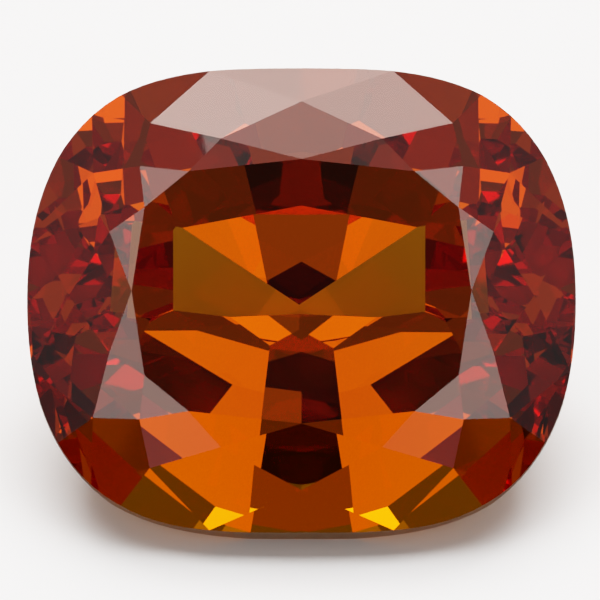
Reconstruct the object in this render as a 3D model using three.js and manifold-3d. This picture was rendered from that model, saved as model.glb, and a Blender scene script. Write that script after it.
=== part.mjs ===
// A cushion-cut zircon gemstone, loose, resting on the front main facet of its
// pavilion with its crown leaning towards -Y.
//
// The stone is worked the way a cutter works it: a cushion-shaped blank is
// ground flat, one facet at a time, by taking a block away beyond the facet's
// plane. The girdle is the band of the blank that no facet reaches.
//
// Cutting frame: X is the length, Y the width and Z the axis through the table;
// z = 0 is the crown edge of the girdle. Millimetres and degrees. An azimuth is
// counted from +X towards +Y, and a slope from the plane of the girdle.

import * as THREE from 'three';
import { mergeVertices } from 'three/addons/utils/BufferGeometryUtils.js';
import Module from 'manifold-3d';

// Cushion outline: a superellipse

const LENGTH = 12.0;
const WIDTH = 10.26;
const END_POWER = 3.4;          // fullness of the outline towards the ends
const SIDE_POWER = 2.25;        // and towards the long sides
const GIRDLE_STEPS = 120;       // straight pieces in the polished girdle
const GIRDLE = 0.31;            // height of the girdle at the main facets

// Crown: 12 kites, 12 stars, 12 diamonds and 24 girdle triangles round the table

const KITE_SLOPE = 25.3;
const CROWN = 1.33;             // girdle to table
const STAR_DROP = 0.23;         // from the table to the points of the stars
const KITE_DROP = 0.65;         // from the table to the outer points of the kites
const TABLE_END = 3.70;         // centre of the table to its end corner
const TABLE_SIDE = 2.91;        // centre of the table to its side corner
const TABLE_LONG = { x: 2.46, y: 2.64, faces: 71 };     // corner nearer the long side
const TABLE_SHORT = { x: 3.42, y: 1.85, faces: 24.5 };  // corner nearer the end
const KITE_LONG_AZ = 49;        // azimuths of the outer points of those two kites
const KITE_SHORT_AZ = 30.7;
const DIAMOND_AZ = [68.4, 41.6, 14.7];   // azimuths where the diamonds reach the girdle

// Pavilion, back and front: a main, two keel facets and two end mains on either
// side of a short keel, then facets that run up to the girdle. The rises of main,
// keel facet and end main are millimetres up per millimetre outwards, along X or
// across the keel. The main ends in a point at its tip, a little off the keel. A
// girdle facet is given by the azimuth it faces, its slope, and how far inside the
// outline it reaches at the girdle's lower edge: one that reaches outside it leaves
// the girdle thicker there. The front main is a little steeper than the back one.

const DEPTH = 5.65;             // girdle to the middle of the keel
const KEEL = 2.77;              // half the keel
const KEEL_SHIFT = -0.05;       // the keel stands a little left of the middle
const HALVES = [
  {
    side: 1, main: 0.775, tip: 0.20, keel: 0.23, end: 0.885, across: 0.41,
    girdle: [
      { faces: 44, slope: 54, inset: 0 },
      { faces: 86, slope: 52, inset: 0.08 },
      { faces: 6.5, slope: 72, inset: -0.09 },
    ],
  },
  {
    side: -1, main: 0.90, tip: 0.36, keel: 0.17, end: 0.88, across: 0.61,
    girdle: [
      { faces: 36, slope: 55, inset: -0.06 },
      { faces: 67.5, slope: 43, inset: -0.35 },
      { faces: 6, slope: 66, inset: -0.10 },
    ],
  },
];

const UP = 1, DOWN = -1;
const rad = THREE.MathUtils.degToRad;
const point = (x, y, z) => new THREE.Vector3(x, y, z);

const wasm = await Module();
wasm.setup();

// Point of the girdle's outline in the direction of an azimuth
function girdlePoint(azimuth, z = 0) {
  const c = Math.cos(rad(azimuth)), s = Math.sin(rad(azimuth));
  let inner = 0, outer = LENGTH;
  for (let i = 0; i < 40; i++) {
    const r = (inner + outer) / 2;
    const power = Math.abs(2 * r * c / LENGTH) ** END_POWER + Math.abs(2 * r * s / WIDTH) ** SIDE_POWER;
    if (power < 1) inner = r; else outer = r;
  }
  return point(inner * c, inner * s, z);
}

const outline = Array.from({ length: GIRDLE_STEPS }, (_, i) => girdlePoint(360 * i / GIRDLE_STEPS));

// How far the outline reaches towards an azimuth
function girdleReach(azimuth) {
  const towards = point(Math.cos(rad(azimuth)), Math.sin(rad(azimuth)), 0);
  return Math.max(...outline.map(p => p.dot(towards)));
}

// Plane of a facet that faces an azimuth, at a slope, through a point
function facet(azimuth, slope, at, side = UP) {
  const a = rad(azimuth), b = rad(slope);
  const normal = point(Math.sin(b) * Math.cos(a), Math.sin(b) * Math.sin(a), side * Math.cos(b));
  return new THREE.Plane().setFromNormalAndCoplanarPoint(normal, at);
}

// Plane of a pavilion facet that rises outwards, in Z per millimetre of X and of Y
function rising(x, y, at) {
  return new THREE.Plane().setFromNormalAndCoplanarPoint(point(x, y, -1).normalize(), at);
}

// Plane through three points, facing away from the middle of the stone
function facetThrough(p, q, r) {
  const plane = new THREE.Plane().setFromCoplanarPoints(p, q, r);
  return plane.constant > 0 ? plane.negate() : plane;
}

const level = z => new THREE.Plane(point(0, 0, 1), -z);
const upright = azimuth => new THREE.Plane(point(-Math.sin(rad(azimuth)), Math.cos(rad(azimuth)), 0), 0);

// Point where three planes meet
function meet(a, b, c) {
  const bc = b.normal.clone().cross(c.normal), ca = c.normal.clone().cross(a.normal);
  const ab = a.normal.clone().cross(b.normal), scale = -1 / a.normal.dot(bc);
  return bc.multiplyScalar(a.constant).addScaledVector(ca, b.constant).addScaledVector(ab, c.constant)
    .multiplyScalar(scale);
}

function crownFacets() {
  const table = level(CROWN);
  const side = point(0, TABLE_SIDE, CROWN), end = point(TABLE_END, 0, CROWN);
  const long = point(TABLE_LONG.x, TABLE_LONG.y, CROWN), short = point(TABLE_SHORT.x, TABLE_SHORT.y, CROWN);
  const kites = [
    facet(90, KITE_SLOPE, side), facet(TABLE_LONG.faces, KITE_SLOPE, long),
    facet(TABLE_SHORT.faces, KITE_SLOPE, short), facet(0, KITE_SLOPE, end),
  ];
  const corners = [side, long, short, end];
  const starLevel = level(CROWN - STAR_DROP), kiteLevel = level(CROWN - KITE_DROP);
  const outerAz = [90, KITE_LONG_AZ, KITE_SHORT_AZ, 0];
  const outer = kites.map((kite, i) => meet(kite, upright(outerAz[i]), kiteLevel));
  const facets = [table, ...kites];
  for (let i = 0; i < 3; i++) {
    const starPoint = meet(kites[i], kites[i + 1], starLevel);
    facets.push(facetThrough(corners[i], corners[i + 1], starPoint));
    const diamond = facetThrough(outer[i], starPoint, outer[i + 1]);
    const tip = girdlePoint(DIAMOND_AZ[i]);
    tip.z = -(diamond.constant + diamond.normal.x * tip.x + diamond.normal.y * tip.y) / diamond.normal.z;
    facets.push(diamond);
    facets.push(facetThrough(outer[i], tip, girdlePoint(outerAz[i])));
    facets.push(facetThrough(outer[i + 1], tip, girdlePoint(outerAz[i + 1])));
  }
  return facets;
}

// The facets that meet over the keel, front and back
function keelFacets() {
  const facets = [];
  for (const { side, main, tip, keel, end, across } of HALVES) {
    facets.push(rising(0, side * main, point(0, side * tip, across * tip - DEPTH)));
    for (const x of [1, -1]) {
      facets.push(rising(x * keel, side * across, point(0, 0, -DEPTH)));
      facets.push(rising(x * end, side * across, point(x * KEEL, 0, keel * KEEL - DEPTH)));
    }
  }
  return facets.map(plane => plane.translate(point(KEEL_SHIFT, 0, 0)));
}

function girdleFacets() {
  return HALVES.flatMap(({ side, girdle }) => girdle.flatMap(({ faces, slope, inset }) => {
    const reach = girdleReach(faces) - inset;
    const foot = point(reach * Math.cos(rad(faces)), reach * Math.sin(rad(faces)), -GIRDLE);
    return mirrored(facet(faces, slope, foot, DOWN)).filter(plane => plane.normal.y * side > 0);
  }));
}

// A facet and its images in the two upright planes of symmetry
function mirrored(plane) {
  const found = [];
  for (const x of [1, -1]) {
    for (const y of [1, -1]) {
      const normal = plane.normal.clone().multiply(point(x, y, 1));
      if (!found.some(other => other.normal.distanceTo(normal) < 1e-6)) {
        found.push(new THREE.Plane(normal, plane.constant));
      }
    }
  }
  return found;
}

function solid(geometry) {
  geometry.deleteAttribute('normal');
  geometry.deleteAttribute('uv');
  const welded = mergeVertices(geometry, 1e-5);
  return new wasm.Manifold(new wasm.Mesh({
    numProp: 3,
    vertProperties: new Float32Array(welded.attributes.position.array),
    triVerts: new Uint32Array(welded.index.array),
  }));
}

function blank() {
  const cushion = new THREE.Shape(outline.map(p => new THREE.Vector2(p.x, p.y)));
  const prism = new THREE.ExtrudeGeometry(cushion, { depth: DEPTH + CROWN + 2, bevelEnabled: false });
  return solid(prism.translate(0, 0, -DEPTH - 1));
}

// Block that grinds away everything beyond a facet's plane
function grind(plane) {
  const size = 3 * LENGTH;
  const block = new THREE.BoxGeometry(size, size, size).translate(0, 0, size / 2);
  const turn = new THREE.Quaternion().setFromUnitVectors(point(0, 0, 1), plane.normal);
  const foot = plane.normal.clone().multiplyScalar(-plane.constant);
  return solid(block.applyQuaternion(turn).translate(foot.x, foot.y, foot.z));
}

function stoneGeometry() {
  let stone = blank();
  for (const plane of [...crownFacets().flatMap(mirrored), ...keelFacets(), ...girdleFacets()]) {
    stone = stone.subtract(grind(plane));
  }
  const cut = stone.getMesh();
  const geometry = new THREE.BufferGeometry();
  geometry.setAttribute('position', new THREE.BufferAttribute(new Float32Array(cut.vertProperties), 3));
  geometry.setIndex(new THREE.BufferAttribute(new Uint32Array(cut.triVerts), 1));
  return geometry;
}

const material = new THREE.MeshStandardMaterial({
  color: new THREE.Color(0.72, 0.24, 0.02), roughness: 0.03, metalness: 0,
  transparent: true, opacity: 0.75, flatShading: true,
});
const zircon = new THREE.Mesh(stoneGeometry(), material);
zircon.name = 'zircon';

// Laid on the front main facet, with the middle of its box over the origin
zircon.rotation.x = Math.atan(HALVES.find(half => half.side < 0).main);
zircon.updateMatrixWorld(true);
const box = new THREE.Box3().setFromObject(zircon, true);
const middle = box.getCenter(point(0, 0, 0));
zircon.position.set(-middle.x, -middle.y, -box.min.z);

const part = new THREE.Group();
part.name = 'cushion_cut_zircon';
part.add(zircon);

export default part;
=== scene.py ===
"""A cushion-cut zircon on a pale floor, seen almost straight down through its table."""

import math

import bmesh
import bpy
from mathutils import Matrix, Vector


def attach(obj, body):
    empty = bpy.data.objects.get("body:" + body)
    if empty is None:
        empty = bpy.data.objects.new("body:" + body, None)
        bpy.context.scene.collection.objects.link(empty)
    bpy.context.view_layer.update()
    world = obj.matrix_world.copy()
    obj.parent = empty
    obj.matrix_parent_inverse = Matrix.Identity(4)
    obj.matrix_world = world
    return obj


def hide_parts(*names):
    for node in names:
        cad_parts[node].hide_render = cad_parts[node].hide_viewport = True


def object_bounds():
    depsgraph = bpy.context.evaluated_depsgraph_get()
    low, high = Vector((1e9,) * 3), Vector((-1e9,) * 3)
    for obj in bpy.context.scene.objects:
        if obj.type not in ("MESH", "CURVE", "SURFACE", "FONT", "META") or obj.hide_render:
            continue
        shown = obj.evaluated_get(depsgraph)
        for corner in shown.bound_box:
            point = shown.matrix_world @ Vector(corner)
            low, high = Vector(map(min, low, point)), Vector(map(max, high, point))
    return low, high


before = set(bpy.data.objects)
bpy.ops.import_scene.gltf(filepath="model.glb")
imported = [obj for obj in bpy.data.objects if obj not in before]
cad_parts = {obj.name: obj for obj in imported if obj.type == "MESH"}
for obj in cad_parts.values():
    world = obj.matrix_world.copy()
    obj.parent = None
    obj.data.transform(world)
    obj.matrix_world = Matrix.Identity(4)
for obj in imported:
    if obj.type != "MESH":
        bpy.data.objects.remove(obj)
cad_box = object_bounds()

MM = 0.001

# The photograph's framing, in its own pixels
PIXELS = 600
STONE_PIXELS = 548.0              # the stone's length
STONE_AT = (301.0, 303.0)         # the middle of its outline

CAMERA_TILT = math.radians(8.25)  # from the table's normal towards the front
CAMERA_AWAY = 0.30
CAMERA_RANGE = (0.01, 10)
SENSOR = 36                       # millimetres

# The stone's facets
FACES_UP = 0.2                    # the upper side's normals have at least this much Z
WELD = 0.0005 * MM                # corners this close are one corner
SAME_FACET = math.radians(0.2)    # triangles this level with each other are one facet
IN_GIRDLE = 0.02                  # the girdle's normals have less than this along the table's

# Zircon
IOR = 1.97
FACET_ROUGHNESS = 0.012
GIRDLE_ROUGHNESS = 0.3
ABSORPTION = 900.0                # per metre, of what the colour below doesn't let pass
PASSES = (0.982, 0.825, 0.1, 1)

# The camera's floor, and the stone's own floor just below it. The second is dimmer,
# since the first keeps the lamps' light from it, and ends in front of the stone
FLOOR_REACH = 0.6
FLOOR_ROUGHNESS = 0.8
FLOOR_DEPTH = 0.01 * MM
FLOOR_COLOUR = (0.89, 0.9, 0.91, 1)
DIM_FLOOR_DEPTH = 0.02 * MM
DIM_FLOOR_FRONT = -6 * MM
DIM_FLOOR_PAINTED_LIGHT_COLOUR = (0.95, 0.75, 0.6, 1)   # painted warm light: the tint stands in for light that came through the stone

# Softboxes round the view axis: degrees off it, degrees round it from the picture's
# right towards its top, size in degrees round it and away from it, and radiance. They
# stand where they give the stone the photograph's pattern of light and dark
SOFTBOXES = {
    "back_right": (81, 76, 30, 15, 4.2),
    "back_left": (81, 105, 29, 15, 5.4),
    "back_upper": (65, 97, 15, 10, 1.7),
    "backdrop": (102, 88, 52, 15, 4.6),
    "upper": (51, 78, 32, 16, 0.14),
    "near": (2, 261, 48, 26, 0.37),
}
# And softboxes that stand in pairs: the right one as above, and the left one's radiance
PAIRS = {
    "side": ((33, 353, 54, 35, 1.6), 1.5),
    "corner": ((45, 56, 18, 10, 2.2), 2.0),
    "edge": ((51, 347, 22, 12, 0.11), 0.11),
    "far": ((71, 42, 25, 9, 0.29), 0.21),
    "shoulder": ((99, 63, 18, 15, 0.52), 0.38),
    "lower": ((40, 293, 9, 20, 0.21), 0.32),
}
FLOOR_LAMP = (60, 90, 50, 50, 9.0)
LAMPS_AWAY = 0.40
WARM = (1, 0.85, 0.77)
WHITE = (1, 1, 1)

# The studio's glow, nearly gone round the camera and gone in front. Angles are degrees
# off the view axis, and degrees off the way to the picture's bottom
STUDIO_GLOW = 0.17
CAMERA_GLOW = 0.015
GLOW_OFF_VIEW = (23, 20)          # where the glow is full, and where it is the camera's
GLOW_OFF_FRONT = (93, 68)         # where it is full, and where it is gone

BOUNCES = 32                      # light turns many times inside the stone
CURVE_LEVELS = (0.15, 0.3, 0.6, 1.0, 1.6, 2.5, 4.0)
CURVE_END = 6.0

scene = bpy.context.scene


# The stone

def table_normal(mesh):
    """The way that the largest flat face on the upper side faces."""
    faces = {}
    for face in mesh.polygons:
        if face.normal.z > FACES_UP:
            key = tuple(round(c, 2) for c in face.normal)
            area, total = faces.get(key, (0.0, Vector()))
            faces[key] = (area + face.area, total + face.normal * face.area)
    return max(faces.values(), key=lambda found: found[0])[1].normalized()


def make_stone(source, axis):
    """The frame's solid with its triangles joined into whole facets."""
    bm = bmesh.new()
    bm.from_mesh(source.data)
    bmesh.ops.remove_doubles(bm, verts=bm.verts, dist=WELD)
    bmesh.ops.dissolve_limit(bm, angle_limit=SAME_FACET, verts=bm.verts, edges=bm.edges)
    bmesh.ops.recalc_face_normals(bm, faces=bm.faces)
    for face in bm.faces:
        in_girdle = abs(face.normal.dot(axis)) < IN_GIRDLE
        face.material_index = 1 if in_girdle else 0
        face.smooth = in_girdle
    for edge in bm.edges:
        edge.smooth = all(face.smooth for face in edge.link_faces)
    mesh = bpy.data.meshes.new("stone")
    bm.to_mesh(mesh)
    bm.free()
    stone = bpy.data.objects.new("stone", mesh)
    scene.collection.objects.link(stone)
    return stone


def zircon(name, roughness):
    """Clear zircon: its colour is only what it absorbs on the way through."""
    material = bpy.data.materials.new(name)
    material.use_nodes = True
    nodes, links = material.node_tree.nodes, material.node_tree.links
    shader = nodes["Principled BSDF"]
    shader.inputs["Base Color"].default_value = (*WHITE, 1)
    shader.inputs["Roughness"].default_value = roughness
    shader.inputs["IOR"].default_value = IOR
    shader.inputs["Transmission Weight"].default_value = 1.0
    absorb = nodes.new("ShaderNodeVolumeAbsorption")
    absorb.inputs["Color"].default_value = PASSES
    absorb.inputs["Density"].default_value = ABSORPTION
    links.new(absorb.outputs["Volume"], nodes["Material Output"].inputs["Volume"])
    return material


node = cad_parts["zircon"]
table = table_normal(node.data)
stone = make_stone(node, table)
stone.data.materials.append(zircon("zircon_facets", FACET_ROUGHNESS))
stone.data.materials.append(zircon("zircon_girdle", GIRDLE_ROUGHNESS))
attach(stone, "root")
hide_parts("zircon")


# The floor

def make_floor(name, depth, front, colour):
    """A flat floor from a line in front of the stone back to the floors' reach."""
    z = -depth
    corners = [
        (-FLOOR_REACH, front, z), (FLOOR_REACH, front, z),
        (FLOOR_REACH, FLOOR_REACH, z), (-FLOOR_REACH, FLOOR_REACH, z),
    ]
    mesh = bpy.data.meshes.new(name)
    mesh.from_pydata(corners, [], [(0, 1, 2, 3)])
    material = bpy.data.materials.new(name)
    material.use_nodes = True
    shader = material.node_tree.nodes["Principled BSDF"]
    shader.inputs["Base Color"].default_value = colour
    shader.inputs["Roughness"].default_value = FLOOR_ROUGHNESS
    mesh.materials.append(material)
    plane = bpy.data.objects.new(name, mesh)
    scene.collection.objects.link(plane)
    return plane


floor = make_floor("floor", FLOOR_DEPTH, -FLOOR_REACH, FLOOR_COLOUR)
floor.visible_transmission = floor.visible_glossy = floor.visible_diffuse = False
# the stone's floor is painted warm, in place of light tinted by passing through the stone
dim_floor = make_floor("dim_floor", DIM_FLOOR_DEPTH, DIM_FLOOR_FRONT, DIM_FLOOR_PAINTED_LIGHT_COLOUR)
dim_floor.visible_camera = False


# The camera

low, high = cad_box
middle = (low + high) / 2
lean = math.acos(table.z) + CAMERA_TILT
view = Vector((0, -math.sin(lean), math.cos(lean)))
picture_right = Vector((1, 0, 0))
picture_up = view.cross(picture_right)
frame_width = (high.x - low.x) * PIXELS / STONE_PIXELS


def make_camera():
    """Looks along the view axis and frames the stone as the photograph does."""
    data = bpy.data.cameras.new("camera")
    data.sensor_width = SENSOR
    data.lens = SENSOR * CAMERA_AWAY / frame_width
    data.clip_start, data.clip_end = CAMERA_RANGE
    camera = bpy.data.objects.new("camera", data)
    scene.collection.objects.link(camera)
    seen = [v.co.dot(picture_up) for v in stone.data.vertices]
    pixel = frame_width / PIXELS
    picture_middle = (PIXELS - 1) / 2
    aim = (
        view * middle.dot(view)
        + picture_up * ((min(seen) + max(seen)) / 2 + (STONE_AT[1] - picture_middle) * pixel)
        - picture_right * (STONE_AT[0] - picture_middle) * pixel
    )
    axes = Matrix((picture_right, picture_up, view)).transposed().to_4x4()
    camera.matrix_world = Matrix.Translation(aim + view * CAMERA_AWAY) @ axes
    return camera


scene.camera = make_camera()


# Light

def softbox(name, off_axis, around, wide, tall, radiance, colour=WARM):
    """A rectangle of light that faces the stone. Angles are in degrees."""
    off, turn = math.radians(off_axis), math.radians(around)
    side = picture_right * math.cos(turn) + picture_up * math.sin(turn)
    towards = view * math.cos(off) + side * math.sin(off)
    data = bpy.data.lights.new(name, "AREA")
    data.shape = "RECTANGLE"
    data.size = 2 * LAMPS_AWAY * math.tan(math.radians(wide) / 2)
    data.size_y = 2 * LAMPS_AWAY * math.tan(math.radians(tall) / 2)
    data.energy = radiance * math.pi * data.size * data.size_y
    data.color = colour
    lamp = bpy.data.objects.new(name, data)
    scene.collection.objects.link(lamp)
    x = view.cross(side).normalized()
    axes = Matrix((x, towards.cross(x), towards)).transposed().to_4x4()
    lamp.matrix_world = Matrix.Translation(middle + towards * LAMPS_AWAY) @ axes
    return lamp


def light_stone():
    """Places the single softboxes, and the pairs, in which the left one is a mirror image."""
    for name, box in SOFTBOXES.items():
        softbox(name, *box)
    for name, (box, left_radiance) in PAIRS.items():
        off_axis, around, wide, tall, _ = box
        softbox(name + "_right", *box)
        softbox(name + "_left", off_axis, 180 - around, wide, tall, left_radiance)


def light_floor():
    """Lights the floor alone, as a studio lights a background apart from the object."""
    receivers = bpy.data.collections.new("floor_only")
    receivers.objects.link(floor)
    lamp = softbox("floor_lamp", *FLOOR_LAMP, WHITE)
    lamp.light_linking.receiver_collection = receivers


def make_world():
    """A glow from behind and beside the stone, kept from the camera and from the front."""
    world = bpy.data.worlds.new("studio")
    world.use_nodes = True
    nodes, links = world.node_tree.nodes, world.node_tree.links
    coordinates = nodes.new("ShaderNodeTexCoord")

    def fade(axis, angles, levels):
        """Goes from the first level to the second between two angles from an axis."""
        along = nodes.new("ShaderNodeVectorMath")
        along.operation = "DOT_PRODUCT"
        along.inputs[1].default_value = axis
        links.new(coordinates.outputs["Generated"], along.inputs[0])
        ramp = nodes.new("ShaderNodeMapRange")
        for end, angle, level in zip(("Min", "Max"), angles, levels):
            ramp.inputs["From " + end].default_value = math.cos(math.radians(angle))
            ramp.inputs["To " + end].default_value = level
        links.new(along.outputs["Value"], ramp.inputs["Value"])
        return ramp.outputs["Result"]

    glow = nodes.new("ShaderNodeMath")
    glow.operation = "MULTIPLY"
    links.new(fade(view, GLOW_OFF_VIEW, (STUDIO_GLOW, CAMERA_GLOW)), glow.inputs[0])
    links.new(fade(-picture_up, GLOW_OFF_FRONT, (1.0, 0.0)), glow.inputs[1])
    links.new(glow.outputs["Value"], nodes["Background"].inputs["Strength"])
    nodes["Background"].inputs["Color"].default_value = (*WHITE, 1)
    return world


light_stone()
light_floor()
scene.world = make_world()

scene.cycles.max_bounces = BOUNCES
scene.cycles.glossy_bounces = BOUNCES
scene.cycles.transmission_bounces = BOUNCES


# The picture's tones

def tone_curve():
    """Rolls the highlights off softly, as film does."""
    settings = scene.view_settings
    settings.view_transform = "Standard"
    settings.look = "None"
    settings.use_curve_mapping = True
    mapping = settings.curve_mapping
    mapping.use_clip = True
    mapping.clip_max_x = CURVE_END
    mapping.clip_max_y = 1.0
    *_, combined = mapping.curves     # after the curves of red, green and blue
    combined.points[-1].location = (CURVE_END, 1.0)
    for level in CURVE_LEVELS:
        combined.points.new(level, 1 - math.exp(-level))
    mapping.update()


tone_curve()
